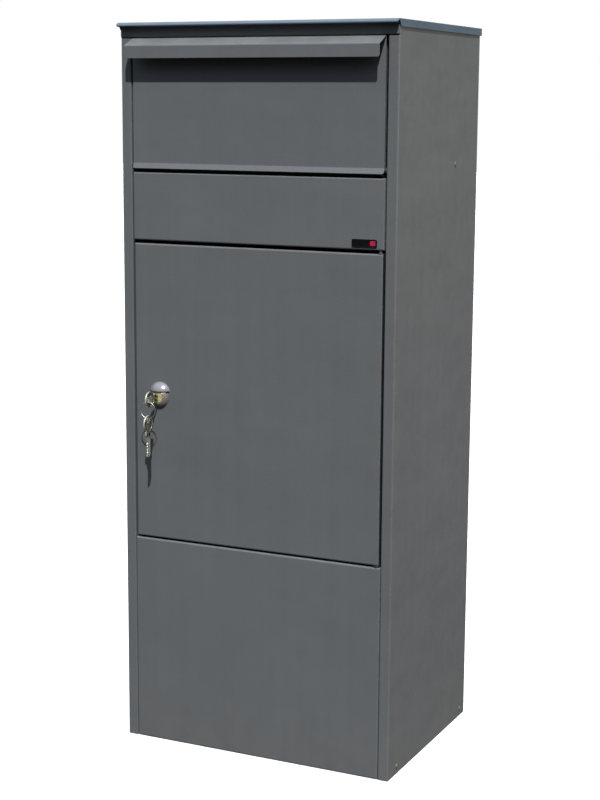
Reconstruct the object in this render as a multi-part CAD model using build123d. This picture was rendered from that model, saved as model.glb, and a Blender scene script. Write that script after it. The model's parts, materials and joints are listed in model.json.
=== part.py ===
from build123d import *
from math import cos, radians, sin
import os

# Parcel drop box: a free-standing sheet-steel cabinet with a tilting hopper at the top,
# a locked door in the middle and a fixed plinth below.
# Millimetres. Origin on the floor at the middle of the cabinet, front towards -Y, right side +X.

# ---------------------------------------------------------------- driving dimensions
WIDTH = 403.0
DEPTH = 298.0
HEIGHT = 1000.0
SHEET = 1.2                 # steel sheet thickness
BEND = 1.4                  # bend radius, measured at the middle of the sheet
EDGE_ROUND = 2.0            # outside radius of a folded front edge
GAP = 0.3                   # assembly gap between neighbouring sheets
RUNNING_FIT = 0.05          # radial clearance of a turning fit
CUT = 1.0                   # how far a cut runs past the sheet it goes through

FRAME_STRIP = 15.0          # front flange of a side panel
SEAM = 3.0                  # gap each side of the flap and the door
MID_SEAM = 1.6              # the same for the fixed panels
LOWER_SEAM = 0.6
JAMB_DEPTH = 14.0           # return behind each frame strip
BACK_FLANGE = 18.0
LID_FLANGE = 15.0           # inward flange of a side panel under the lid
LID_FLANGE_FRONT = 24.0     # the flange starts this far behind the front
LID_FLANGE_BACK = 21.0      # and ends this far from the back

RAIL_BOTTOM = 980.4
STRIP_TOP = 979.2           # frame strips stop here, under the top rail
FLAP_BOTTOM = 807.5
MID_TOP = 802.6
MID_BOTTOM = 711.3
DOOR_TOP = 706.5
DOOR_BOTTOM = 296.5
LOWER_TOP = 293.5
PANEL_DEPTH = 18.0          # depth of the fixed front panels
DOOR_DEPTH = 14.0
WING = 15.0                 # flange that ties a front panel to a side wall
FLAP_SWEEP = 8.0            # depth kept clear for the flap's lower edge
SHELF_RETURN = 5.5          # a folded flange ends this far from a panel's edge

RAIL_FLANGE = 21.0          # top rail's flange under the lid
STOP_LIP_IN = 9.6           # stop lip, behind the front plane
STOP_LIP_DROP = 12.0
TAB_LOW = 983.0             # tabs that weld the rail to the side walls
TAB_HIGH = 996.0

HANDLE_REACH = 22.0         # folded handle, out from the front
HANDLE_DROP = 10.4          # fall of its sloping top
HANDLE_LIP = 16.4
HANDLE_CORNER = 2.5
FLAP_GAP = 0.8              # between the flap and the rail
FLARE_REACH = 3.2           # flared lower edge of the flap
FLARE_HEIGHT = 7.3

PIVOT_IN = 5.0              # hopper pivot, behind the front plane
PIVOT_Z = 812.0
PIVOT_SPIGOT = 2.0          # radius of the pin where it is riveted into the hopper side
PIVOT_COLLAR = 3.4
PIVOT_CLEARANCE = 4.2       # notch in the hopper floor round the pin
HOPPER_TRAVEL = 50.0        # degrees
HOPPER_SIDE_X = 180.5       # outer face of the hopper sides
FAN_RADIUS = 165.0
FAN_LOW = -20.0             # lower end of the fan's round edge, degrees
FLOOR_RADIUS = 225.0
FLOOR_TAIL = -44.0          # where the fan meets the floor's tail, degrees
SIDE_FLANGE = (838.0, 960.0)
FLOOR_UPSTAND = 18.0
FLOOR_LIP = 12.0
FLOOR_FLANGE = 13.0
STOP_RADIUS = 203.5
STOP_PIN_RADIUS = 3.0
STOP_SPIGOT = 2.0
STOP_EAR = 11.5
BUSH_RADIUS = 3.6
BUSH_COLLAR = 4.5
BUSH_LENGTH = 3.5

HINGE_IN = 4.5              # door pin, in from the door's edge and from its face
HINGE_PIN_RADIUS = 2.5
HINGE_PIN_HEAD = 3.2
HINGE_PIN_DEPTH = 7.0       # how far a pin enters the door
HINGE_BUSH = 3.1
HINGE_BUSH_COLLAR = 4.3

LID_OVERHANG = 1.7
LID_HEM = 10.0
LID_NOSE_REACH = 11.5
LID_NOSE_DROP = 4.4
LID_NOSE_SLOPE = 6.6        # depth of the nose's sloping face
LID_LIP_BACK = 1.2          # the lip under the nose ends this far out from the front
LID_BEND = 0.9
LID_MITRE = 3.6

BADGE_X = (140.0, 175.0)
BADGE_Z = (714.7, 725.0)
BADGE_CORNER = 1.5
BADGE_BEVEL = 0.3

LOCK_X = -145.6
LOCK_Z = 496.6
LOCK_PROUD = 6.5            # lock face, out from the door
LOCK_RIM_RADIUS = 12.8
LOCK_RIM_BEVEL = (2.4, 3.4) # conical edge of the rim: along the lock, across it
LOCK_BARREL_RADIUS = 9.5
LOCK_FLAT = 8.0             # half distance across the barrel's flats
LOCK_NUT_RADIUS = 15.0
LOCK_NUT_THICK = 4.0
PLUG_HEAD_RADIUS = 8.6
PLUG_HEAD_THICK = 3.0
PLUG_RADIUS = 6.0
PLUG_BACK = 24.0            # back of the plug, in from the door's face
TAIL = 3.5                  # half width of the square tail that drives the cam
CAM_THICK = 2.0
CAM_REACH = 37.5
CAM_HALF_WIDTH = 8.0
CAM_SCREW_RADIUS = 1.5
CAM_SCREW_HEAD = 5.2
CAM_SCREW_HEIGHT = 2.4
CAM_SCREW_BITE = 1.5
HOOD_RADIUS = 16.5
HOOD_RISE = 4.5             # hood centre above the lock
HOOD_EDGE = 8.5             # hood's lower edge above the lock
HOOD_HEIGHT = 9.5
HOOD_SHELL = 1.2
HOOD_BASE = 1.5             # thickness of the hood's base plate
HOOD_BASE_RADIUS = 14.0

KEY_THICK = 2.0
KEY_WIDTH = 8.0
KEY_BLADE = 26.0
KEY_NECK = 10.6
KEY_BOW_RADIUS = 11.2
KEY_HOLE_OFFSET = 4.7
KEY_HOLE_RADIUS = 3.4
KEY_CUT_DEPTHS = (2.0, 1.2, 2.4, 1.6, 1.0)
KEY_CUT_START = 4.0
KEY_CUT_PITCH = 4.2
KEY_SLOT_FIT = 0.1          # slot wider than the blade, each side
RING_RADIUS = 11.5
RING_WIRE = 0.9
RING_FIT = 0.1              # between the ring and a key's hole

RIVET_SHANK = 1.6
RIVET_HEAD = 3.2
RIVET_HEAD_HEIGHT = 1.1

TRAY_HEIGHT = 22.0
SHELF_DROP = 18.0
BAFFLE_PROFILE = ((0.0, 892.0), (0.0, 866.0), (-50.0, 824.0), (-50.0, 813.0))
STRIKE_IN = 17.0            # back face of the strike's lip, behind the front
STRIKE_LIP = 12.4
STIFFENER_CROWN = 10.0
STIFFENER_HALF_WIDTHS = (18.0, 32.0)
STIFFENER_END = 25.0        # the stiffener ends this far from the door's edges
BUMPER_RADIUS = 4.0
BUMPER_IN = 33.0            # hopper bumpers, in from the flap's edges
DOOR_BUMPER_RADIUS = 3.5
DOOR_BUMPER_ZS = (330.0, 560.0, 673.0)

FLOOR_BOLT_X = 150.0        # half pitch of the floor bolts
FLOOR_BOLT_Y = 100.0
FLOOR_BOLT_RADIUS = 5.0
WALL_BOLT_X = 150.0
WALL_BOLT_ZS = (400.0, 900.0)
WALL_BOLT_RADIUS = 4.0
STUD_RADIUS = 2.0
STUD_LENGTH = 12.8
STUD_YS = (-90.0, 90.0)
NUT_FLANGE_RADIUS = 4.4
NUT_FLANGE = 1.0
NUT_RADIUS = 4.0
NUT_HEIGHT = 3.4

# ---------------------------------------------------------------- worked-out places
MID = SHEET / 2
HALF = WIDTH / 2
FRONT = -DEPTH / 2
BACK = DEPTH / 2
WALL = HALF - SHEET                      # inner face of a side wall
LID_UNDER = HEIGHT - SHEET
JAMB = HALF - FRAME_STRIP
PANEL_HALF = JAMB - SEAM
INSIDE_FRONT = FRONT + SHEET             # back of a front sheet
BACK_SHEET = BACK - 2 * SHEET            # inner face of the back panel
PANEL_BACK = FRONT + PANEL_DEPTH
WING_BACK = PANEL_BACK + SHEET
FLANGE_HALF = PANEL_HALF - SHELF_RETURN
SHELF_FRONT = WING_BACK + 1.8            # middle of the shelf's front flange
TRAY_FRONT = PANEL_BACK + 1.8

PIVOT_Y = FRONT + PIVOT_IN
HOPPER_SIDE_IN = HOPPER_SIDE_X - SHEET
FLOOR_ANGLE = HOPPER_TRAVEL + 0.5
FLOOR_START = (INSIDE_FRONT + MID, PIVOT_Z + 6.0)
FLOOR_LENGTH = FLOOR_RADIUS - 5.0

HINGE_X = PANEL_HALF - HINGE_IN
HINGE_Y = FRONT + HINGE_IN

LOCK_FACE = FRONT - LOCK_PROUD
PLUG_REAR = FRONT + PLUG_BACK
BOW_Y = LOCK_FACE - KEY_NECK - KEY_BOW_RADIUS
KEY_HOLE_Y = BOW_Y - KEY_HOLE_OFFSET
RING_SEAT = KEY_HOLE_RADIUS - RING_WIRE - RING_FIT       # wire centre, off a hole's centre
RING_Z = LOCK_Z - RING_SEAT - RING_RADIUS
SPARE_HOLE_Z = RING_Z - RING_RADIUS - RING_SEAT

STRIKE_LIP_Y = FRONT + STRIKE_IN         # back face of the strike's lip
SIDES = (-1, 1)


# ---------------------------------------------------------------- helpers
def block(x, y, z):
    """Box between (low, high) limits on each axis."""
    limits = (x, y, z)
    centre = [(low + high) / 2 for low, high in limits]
    size = [abs(high - low) for low, high in limits]
    return Pos(*centre) * Box(*size)


def folded(plane, points, low, high, bend=BEND):
    """Sheet folded along the mid line through points, from low to high along the plane's normal."""
    section = trace(FilletPolyline(*points, radius=bend), line_width=SHEET)
    return extrude(plane.offset(low) * section, amount=high - low, dir=plane.z_dir)


def plate(plane, outline, low, high):
    """Flat plate of a closed outline, from low to high along the plane's normal."""
    return extrude(plane.offset(low) * outline, amount=high - low, dir=plane.z_dir)


def rod(axis, radius, low, high, at):
    """Cylinder along "x", "y" or "z" from low to high, through the point at."""
    index = "xyz".index(axis)
    start = list(at)
    start[index] = low
    direction = [0, 0, 0]
    direction[index] = 1
    cylinder = Cylinder(radius, high - low, align=(Align.CENTER, Align.CENTER, Align.MIN))
    return Plane(origin=start, z_dir=direction) * cylinder


def rivet(axis, low, high, at):
    """Rivet through sheets that lie between low and high, with a low domed head each side."""
    index = "xyz".index(axis)
    body = rod(axis, RIVET_SHANK, low, high, at)
    for start, end in ((low - RIVET_HEAD_HEIGHT, low), (high, high + RIVET_HEAD_HEIGHT)):
        head = rod(axis, RIVET_HEAD, start, end, at)
        outer = start if end == low else end
        rim = [edge for edge in head.edges() if abs(tuple(edge.center())[index] - outer) < RUNNING_FIT]
        body += fillet(rim, RIVET_HEAD_HEIGHT * 0.8)
    return body


def both_sides(piece):
    """A piece and its mirror image on the other side of the cabinet."""
    return [mirror(piece, about=Plane.YZ), piece]


def pan(half, bottom, top, depth):
    """Front sheet with rounded edges and returns folded back on its four sides."""
    body = block((-half, half), (FRONT, FRONT + depth), (bottom, top))
    front_edges = body.faces().sort_by(Axis.Y)[0].edges()
    body = fillet(front_edges, EDGE_ROUND)
    hollow = block(
        (SHEET - half, half - SHEET),
        (INSIDE_FRONT, FRONT + depth),
        (bottom + SHEET, top - SHEET),
    )
    return body - hollow


def wings(bottom, top):
    """Flanges that tie a fixed front panel to the inside of the side walls."""
    wing = block((PANEL_HALF - SHEET, WALL), (PANEL_BACK, WING_BACK), (bottom, top))
    wing += block((WALL - SHEET, WALL), (WING_BACK, WING_BACK + WING), (bottom, top))
    return wing + mirror(wing, about=Plane.YZ)


def polar(radius, angle):
    """Point at a radius and angle from the hopper pivot, in the side view."""
    return (PIVOT_Y + radius * cos(radians(angle)), PIVOT_Z + radius * sin(radians(angle)))


def on_floor(along, up):
    """Point on the closed hopper floor: a distance down its slope and a height above it."""
    slope = radians(FLOOR_ANGLE)
    y = FLOOR_START[0] + along * cos(slope) + up * sin(slope)
    z = FLOOR_START[1] - along * sin(slope) + up * cos(slope)
    return (y, z)


def barrel_section(radius):
    """Round lock barrel with a flat each side."""
    return Circle(radius) & Rectangle(2 * LOCK_FLAT, 4 * radius)


def lock_plane(y):
    """Plane across the lock's axis, looking along +Y, with its own x along the cabinet's -X."""
    return Plane(origin=(LOCK_X, y, LOCK_Z), x_dir=(-1, 0, 0), z_dir=(0, 1, 0))


def lock_square(low, high):
    """Square bar along the lock's axis, as thick as the plug's tail."""
    return block((LOCK_X - TAIL, LOCK_X + TAIL), (low, high), (LOCK_Z - TAIL, LOCK_Z + TAIL))


def save(name, *solids):
    """Write one sub-part; several solids make a group."""
    shape = solids[0] if len(solids) == 1 else Compound(children=list(solids))
    export_step(shape, f"parts/{name}.step")


# ---------------------------------------------------------------- fixing points
BASE_RIVETS = ((FRONT + 31, TRAY_HEIGHT / 2), (BACK - 20, TRAY_HEIGHT / 2))
BACK_RIVET_ZS = (60, 280, 500, 720, 940)
BACK_RIVET_X = HALF - 10.5
BAFFLE_RIVET_XS = (-150, 0, 150)
BAFFLE_RIVET_Z = 880.0
STUD_X = HALF - 8.5
SHELF_RIVET_YS = (-80, 110)
SHELF_RIVET_X = HALF - 11.5
FLOOR_RIVETS = (on_floor(60, 7), on_floor(160, 7))
STOP_PIN = (PIVOT_Y + STOP_RADIUS, PIVOT_Z + STOP_PIN_RADIUS)


# ---------------------------------------------------------------- cabinet
def side_panel():
    """Right side: wall, back flange, frame strip and jamb folded from one sheet, top flange inside."""
    section = (
        (HALF - BACK_FLANGE, BACK - MID),
        (HALF - MID, BACK - MID),
        (HALF - MID, FRONT + MID),
        (JAMB + MID, FRONT + MID),
        (JAMB + MID, FRONT + JAMB_DEPTH),
    )
    panel = folded(Plane.XY, section, 0, LID_UNDER)
    panel -= block((JAMB - CUT, WALL), (FRONT - CUT, FRONT + JAMB_DEPTH + CUT), (STRIP_TOP, HEIGHT))
    panel -= block((WALL - CUT, HALF + CUT), (FRONT - CUT, INSIDE_FRONT), (STRIP_TOP, HEIGHT))
    panel += block(
        (WALL - LID_FLANGE, WALL),
        (FRONT + LID_FLANGE_FRONT, BACK - LID_FLANGE_BACK),
        (LID_UNDER - SHEET, LID_UNDER),
    )
    panel -= rod("x", BUSH_RADIUS, JAMB - CUT, JAMB + SHEET + CUT, (0, PIVOT_Y, PIVOT_Z))
    panel -= rod("x", STOP_SPIGOT, WALL - CUT, HALF + CUT, (0, *STOP_PIN))
    for y, z in BASE_RIVETS:
        panel -= rod("x", RIVET_SHANK, WALL - CUT, HALF + CUT, (0, y, z))
    for z in BACK_RIVET_ZS:
        panel -= rod("y", RIVET_SHANK, BACK - SHEET - CUT, BACK + CUT, (BACK_RIVET_X, 0, z))
    for y in STUD_YS:
        panel -= rod("z", STUD_RADIUS + GAP, LID_UNDER - SHEET - CUT, HEIGHT, (STUD_X, y, 0))
    return panel


def back_panel():
    """Flat back inside the side panels' flanges, folded forward under the lid."""
    y = BACK - SHEET - MID
    z = LID_UNDER - MID
    half = WALL - BEND
    panel = folded(Plane.YZ, ((y, 0), (y, z), (y - JAMB_DEPTH, z)), -half, half)
    for side in SIDES:
        for z in BACK_RIVET_ZS:
            panel -= rod("y", RIVET_SHANK, BACK_SHEET - CUT, BACK, (side * BACK_RIVET_X, 0, z))
        for z in WALL_BOLT_ZS:
            panel -= rod("y", WALL_BOLT_RADIUS, BACK_SHEET - CUT, BACK, (side * WALL_BOLT_X, 0, z))
    for x in BAFFLE_RIVET_XS:
        panel -= rod("y", RIVET_SHANK, BACK_SHEET - CUT, BACK, (x, 0, BAFFLE_RIVET_Z))
    return panel


def base_plate():
    """Tray with upturned flanges and four floor-bolt holes."""
    tray = block((-WALL, WALL), (TRAY_FRONT, BACK_SHEET), (0, TRAY_HEIGHT))
    tray -= block(
        (SHEET - WALL, WALL - SHEET),
        (TRAY_FRONT + SHEET, BACK_SHEET - SHEET),
        (SHEET, TRAY_HEIGHT + CUT),
    )
    for side in SIDES:
        wall = side * WALL
        for y in (-FLOOR_BOLT_Y, FLOOR_BOLT_Y):
            tray -= rod("z", FLOOR_BOLT_RADIUS, -CUT, SHEET + CUT, (side * FLOOR_BOLT_X, y, 0))
        for y, z in BASE_RIVETS:
            tray -= rod("x", RIVET_SHANK, wall - SHEET - CUT, wall + SHEET + CUT, (0, y, z))
    return tray


def lid():
    """Top sheet with a sloping nose at the front, hems on the other sides and studs underneath."""
    nose_y = FRONT - LID_NOSE_REACH
    nose_z = HEIGHT - MID - LID_NOSE_DROP
    side = HALF + LID_OVERHANG
    hem_y = BACK + LID_OVERHANG - MID
    profile = (
        (FRONT - LID_LIP_BACK, nose_z),
        (nose_y, nose_z),
        (nose_y + LID_NOSE_SLOPE, HEIGHT - MID),
        (hem_y, HEIGHT - MID),
        (hem_y, HEIGHT - LID_HEM),
    )
    top = folded(Plane.YZ, profile, -side, side, bend=LID_BEND)
    mitre = Polygon(
        (side - LID_MITRE, nose_z - 2 * CUT),
        (side + 2 * CUT, nose_z - 2 * CUT),
        (side + 2 * CUT, HEIGHT - CUT),
        align=None,
    )
    corner = plate(Plane.XZ, mitre, MID - FRONT, LID_NOSE_REACH + 2 * CUT - FRONT)
    hem_outline = Polygon(
        (FRONT + 2 * CUT, HEIGHT - LID_HEM),
        (hem_y, HEIGHT - LID_HEM),
        (hem_y, LID_UNDER),
        (nose_y + LID_NOSE_SLOPE + GAP, LID_UNDER),
        align=None,
    )
    hem = plate(Plane.YZ, hem_outline, side - SHEET, side)
    for piece in both_sides(corner):
        top -= piece
    for piece in both_sides(hem):
        top += piece
    for side_sign in SIDES:
        for y in STUD_YS:
            top += rod("z", STUD_RADIUS, LID_UNDER - STUD_LENGTH, LID_UNDER, (side_sign * STUD_X, y, 0))
    return top


def lid_nuts():
    """Flanged hexagon nuts on the lid's studs, under the side panels' top flanges."""
    seat = LID_UNDER - SHEET
    low = seat - NUT_FLANGE - NUT_HEIGHT
    nuts = []
    for side in SIDES:
        for y in STUD_YS:
            at = (side * STUD_X, y, 0)
            nut = rod("z", NUT_FLANGE_RADIUS, seat - NUT_FLANGE, seat, at)
            nut += extrude(Pos(at[0], y, low) * RegularPolygon(NUT_RADIUS, 6), amount=NUT_HEIGHT)
            nuts.append(nut - rod("z", STUD_RADIUS, low - CUT, seat + CUT, at))
    return nuts


def top_rail():
    """Header over the flap: web across the whole front, flange under the lid, stop lip behind the flap."""
    stop_y = FRONT + STOP_LIP_IN
    profile = (
        (FRONT + RAIL_FLANGE, LID_UNDER - MID),
        (FRONT + MID, LID_UNDER - MID),
        (FRONT + MID, RAIL_BOTTOM + MID),
        (stop_y, RAIL_BOTTOM + MID),
        (stop_y, RAIL_BOTTOM - STOP_LIP_DROP),
    )
    behind = (INSIDE_FRONT, FRONT + LID_FLANGE_FRONT + CUT)
    low = RAIL_BOTTOM - STOP_LIP_DROP - CUT
    rail = folded(Plane.YZ, profile, -HALF, HALF)
    for side in SIDES:
        outside = side * (HALF + CUT)
        rail -= block((side * (JAMB - CUT), outside), behind, (low, HEIGHT))
        rail -= block((side * FLANGE_HALF, outside), behind, (low, (RAIL_BOTTOM + HEIGHT) / 2))
        rail += block(
            (side * (WALL - SHEET), side * WALL),
            (INSIDE_FRONT, FRONT + LID_FLANGE_FRONT),
            (TAB_LOW, TAB_HIGH),
        )
    return rail


def mid_panel():
    """Fixed panel between the hopper and the door; its short top flange clears the tilting flap."""
    half = JAMB - MID_SEAM
    panel = pan(half, MID_BOTTOM, MID_TOP, PANEL_DEPTH)
    inner = half - SHEET
    panel -= block((-inner, inner), (FRONT + FLAP_SWEEP, PANEL_BACK), (MID_TOP - SHEET - CUT, MID_TOP))
    panel -= rod("z", HINGE_PIN_RADIUS, MID_BOTTOM - CUT, MID_BOTTOM + SHEET + CUT, (HINGE_X, HINGE_Y, 0))
    return panel + wings(MID_BOTTOM, MID_TOP - FLAP_SWEEP)


def lower_panel():
    """Fixed plinth panel under the door."""
    panel = pan(JAMB - LOWER_SEAM, 0, LOWER_TOP, PANEL_DEPTH)
    panel -= rod("z", HINGE_PIN_RADIUS, LOWER_TOP - SHEET - CUT, LOWER_TOP + CUT, (HINGE_X, HINGE_Y, 0))
    return panel + wings(TRAY_HEIGHT + 2, LOWER_TOP - 9)


def compartment_floor():
    """Shelf that closes the parcel compartment, folded down at the front and back."""
    back = BACK_SHEET - MID - GAP
    z = LOWER_TOP - MID
    profile = ((SHELF_FRONT, z - SHELF_DROP), (SHELF_FRONT, z), (back, z), (back, z - SHELF_DROP))
    shelf = folded(Plane.YZ, profile, -FLANGE_HALF, FLANGE_HALF)
    for side in SIDES:
        shelf += block(
            (side * FLANGE_HALF, side * (WALL - GAP)),
            (SHELF_FRONT - MID, back + MID),
            (LOWER_TOP - SHEET, LOWER_TOP),
        )
        for y in SHELF_RIVET_YS:
            low = LOWER_TOP - SHEET - CUT
            shelf -= rod("z", RIVET_SHANK, low, LOWER_TOP + CUT, (side * SHELF_RIVET_X, y, 0))
    return shelf


def shelf_bracket():
    """Right-hand angle that carries the shelf on the side wall."""
    z = LOWER_TOP - SHEET - MID
    section = ((WALL - SHELF_DROP, z), (WALL - MID, z), (WALL - MID, z - TRAY_HEIGHT))
    bracket = folded(Plane.XZ, section, JAMB_DEPTH - BACK, -FRONT - 2 * TRAY_HEIGHT)
    for y in SHELF_RIVET_YS:
        bracket -= rod("z", RIVET_SHANK, z - MID - CUT, z + MID + CUT, (SHELF_RIVET_X, y, 0))
    return bracket


def anti_fishing_baffle():
    """Sloping plate on the back that meets the end of the hopper floor when the hopper is open."""
    profile = [(BACK_SHEET - MID + out, z) for out, z in BAFFLE_PROFILE]
    half = WALL - SHELF_RETURN - CUT
    baffle = folded(Plane.YZ, profile, -half, half)
    for x in BAFFLE_RIVET_XS:
        baffle -= rod("y", RIVET_SHANK, BACK_SHEET - SHEET - CUT, BACK, (x, 0, BAFFLE_RIVET_Z))
    return baffle


def hopper_bush():
    """Nylon bush in the right jamb; the hopper's pivot pin turns in it."""
    at = (0, PIVOT_Y, PIVOT_Z)
    bush = rod("x", BUSH_RADIUS, JAMB, JAMB + BUSH_LENGTH, at)
    bush += rod("x", BUSH_COLLAR, JAMB - 1.5, JAMB, at)
    return bush - rod("x", HINGE_PIN_RADIUS + RUNNING_FIT, JAMB - 2, JAMB + BUSH_LENGTH + CUT, at)


def hopper_stop_pin():
    """Pin in the right wall that ends the hopper's travel; its head shows outside."""
    at = (0, *STOP_PIN)
    pin = rod("x", STOP_PIN_RADIUS, HOPPER_SIDE_X + 3.5, WALL, at)
    pin += rod("x", STOP_SPIGOT, WALL, HALF, at)
    head = rod("x", RIVET_HEAD, HALF, HALF + RIVET_HEAD_HEIGHT, at)
    return pin + fillet(head.edges().sort_by(Axis.X)[-1:], RIVET_HEAD_HEIGHT * 0.8)


def hopper_bumper():
    """Rubber stop on the rail's lip, behind the flap."""
    at = (PANEL_HALF - BUMPER_IN, 0, RAIL_BOTTOM - STOP_LIP_DROP / 2 - MID)
    bumper = rod("y", BUMPER_RADIUS, INSIDE_FRONT, FRONT + STOP_LIP_IN - MID, at)
    return chamfer(bumper.edges().sort_by(Axis.Y)[:1], BUMPER_RADIUS / 5)


def hinge_pins():
    """Door pins in the panels above and below the door."""
    at = (HINGE_X, HINGE_Y, 0)
    upper_seat = MID_BOTTOM + SHEET
    lower_seat = LOWER_TOP - SHEET
    upper = rod("z", HINGE_PIN_RADIUS, DOOR_TOP - HINGE_PIN_DEPTH, upper_seat, at)
    upper += rod("z", HINGE_PIN_HEAD, upper_seat, upper_seat + SHEET, at)
    lower = rod("z", HINGE_PIN_RADIUS, lower_seat, DOOR_BOTTOM + HINGE_PIN_DEPTH, at)
    lower += rod("z", HINGE_PIN_HEAD, lower_seat - SHEET, lower_seat, at)
    return [upper, lower]


def strike_plate():
    """Angle behind the left jamb: the door closes against it and the cam turns in behind it."""
    x = -JAMB - SHEET - MID
    lip_y = STRIKE_LIP_Y - MID
    section = ((x, FRONT + 2 * SHEET + GAP), (x, lip_y), (x + STRIKE_LIP, lip_y))
    return folded(Plane.XY, section, DOOR_BOTTOM + 4, DOOR_TOP - 4)


def door_bumpers():
    """Rubber stops between the strike and the door's left return."""
    at = (CUT - PANEL_HALF, 0)
    low = FRONT + DOOR_DEPTH
    return [rod("y", DOOR_BUMPER_RADIUS, low, STRIKE_LIP_Y - SHEET, (*at, z)) for z in DOOR_BUMPER_ZS]


def badge():
    """Plain identification plate on the right of the mid panel."""
    body = block(BADGE_X, (FRONT - SHEET, FRONT), BADGE_Z)
    body = fillet(body.edges().filter_by(Axis.Y), BADGE_CORNER)
    return chamfer(body.faces().sort_by(Axis.Y)[0].edges(), BADGE_BEVEL)


def base_rivets():
    """Rivets through the side walls into the tray's flanges."""
    rivets = []
    for y, z in BASE_RIVETS:
        rivets += both_sides(rivet("x", WALL - SHEET, HALF, (0, y, z)))
    return rivets


def back_rivets():
    """Rivets round the back panel and through the baffle."""
    rivets = []
    for z in BACK_RIVET_ZS:
        rivets += both_sides(rivet("y", BACK_SHEET, BACK, (BACK_RIVET_X, 0, z)))
    for x in BAFFLE_RIVET_XS:
        rivets.append(rivet("y", BACK_SHEET - SHEET, BACK - SHEET, (x, 0, BAFFLE_RIVET_Z)))
    return rivets


def shelf_rivets():
    """Rivets through the shelf and its brackets."""
    rivets = []
    for y in SHELF_RIVET_YS:
        rivets += both_sides(rivet("z", LOWER_TOP - 2 * SHEET, LOWER_TOP, (SHELF_RIVET_X, y, 0)))
    return rivets


# ---------------------------------------------------------------- hopper
def flap_panel():
    """Hopper front: flared lower edge, flat face and the folded pull handle."""
    face = FRONT + MID
    reach = FRONT - HANDLE_REACH + MID
    bottom = FLAP_BOTTOM + GAP
    top = RAIL_BOTTOM - FLAP_GAP
    profile = (
        (face - FLARE_REACH, bottom),
        (face, bottom + FLARE_HEIGHT),
        (face, top),
        (reach, top - HANDLE_DROP),
        (reach, top - HANDLE_DROP - HANDLE_LIP),
    )
    flap = folded(Plane.YZ, profile, -PANEL_HALF, PANEL_HALF)
    ends = [edge for edge in flap.edges().filter_by(GeomType.LINE) if abs(edge.length - SHEET) < RUNNING_FIT]
    lower = sorted(ends, key=lambda edge: edge.center().Z)[:4]
    corners = [edge for edge in lower if abs(abs(edge.center().X) - PANEL_HALF) < RUNNING_FIT]
    return fillet(corners, HANDLE_CORNER)


def hopper_side():
    """Right side of the hopper: a fan plate with a front flange and an outward stop ear."""
    pivot = (PIVOT_Y, PIVOT_Z)
    fan_corner = (INSIDE_FRONT, PIVOT_Z + FAN_RADIUS - 2)
    fan_top = polar(FAN_RADIUS, 90)
    fan_end = polar(FAN_RADIUS, FAN_LOW)
    tail_start = polar(FLOOR_RADIUS, FLOOR_TAIL)
    tail_middle = polar(FLOOR_RADIUS, (FLOOR_TAIL - FLOOR_ANGLE) / 2)
    tail_end = polar(FLOOR_RADIUS, -FLOOR_ANGLE)
    outline = Face(Wire([
        Line((INSIDE_FRONT, PIVOT_Z), fan_corner),
        Line(fan_corner, fan_top),
        ThreePointArc(fan_top, polar(FAN_RADIUS, (90 + FAN_LOW) / 2), fan_end),
        Line(fan_end, tail_start),
        ThreePointArc(tail_start, tail_middle, tail_end),
        Line(tail_end, pivot),
        Line(pivot, (INSIDE_FRONT, PIVOT_Z)),
    ]))
    side = plate(Plane.YZ, outline, HOPPER_SIDE_IN, HOPPER_SIDE_X)
    side += rod("x", 2 * BUSH_RADIUS, HOPPER_SIDE_IN, HOPPER_SIDE_X, (0, *pivot))
    through = (HOPPER_SIDE_IN - CUT, HOPPER_SIDE_X + CUT)
    side -= block(through, (FRONT - JAMB_DEPTH, INSIDE_FRONT), (PIVOT_Z - 20, PIVOT_Z + 20))
    side += block(
        (HOPPER_SIDE_IN - STOP_EAR, HOPPER_SIDE_X), (INSIDE_FRONT, INSIDE_FRONT + SHEET), SIDE_FLANGE
    )
    ear = block(
        (HOPPER_SIDE_X, HOPPER_SIDE_X + STOP_EAR), (STOP_RADIUS - 6.5, STOP_RADIUS + 6.5), (-SHEET, 0)
    )
    side += Pos(0, *pivot) * Rot(-HOPPER_TRAVEL - 0.1, 0, 0) * ear
    side -= rod("x", PIVOT_SPIGOT, *through, (0, *pivot))
    for y, z in FLOOR_RIVETS:
        side -= rod("x", RIVET_SHANK, *through, (0, y, z))
    return side


def hopper_floor():
    """Sloping floor that carries the parcel, with side flanges, a folded rear edge and pin notches."""
    profile = (
        (FLOOR_START[0], FLOOR_START[1] + FLOOR_UPSTAND),
        FLOOR_START,
        on_floor(FLOOR_LENGTH, 0),
        on_floor(FLOOR_LENGTH, -FLOOR_LIP),
    )
    floor = folded(Plane.YZ, profile, -HOPPER_SIDE_IN, HOPPER_SIDE_IN)
    flange = Polygon(
        on_floor(12, 0),
        on_floor(FLOOR_LENGTH - 8, 0),
        on_floor(FLOOR_LENGTH - 16, FLOOR_FLANGE),
        on_floor(20, FLOOR_FLANGE),
        align=None,
    )
    for piece in both_sides(plate(Plane.YZ, flange, HOPPER_SIDE_IN - SHEET, HOPPER_SIDE_IN)):
        floor += piece
    notch = rod("x", PIVOT_CLEARANCE, HOPPER_SIDE_IN - 2 * SHEET, HALF, (0, PIVOT_Y, PIVOT_Z))
    for piece in both_sides(notch):
        floor -= piece
    for side in SIDES:
        middle = side * (HOPPER_SIDE_IN - MID)
        for y, z in FLOOR_RIVETS:
            floor -= rod("x", RIVET_SHANK, middle - SHEET, middle + SHEET, (0, y, z))
    return floor


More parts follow.
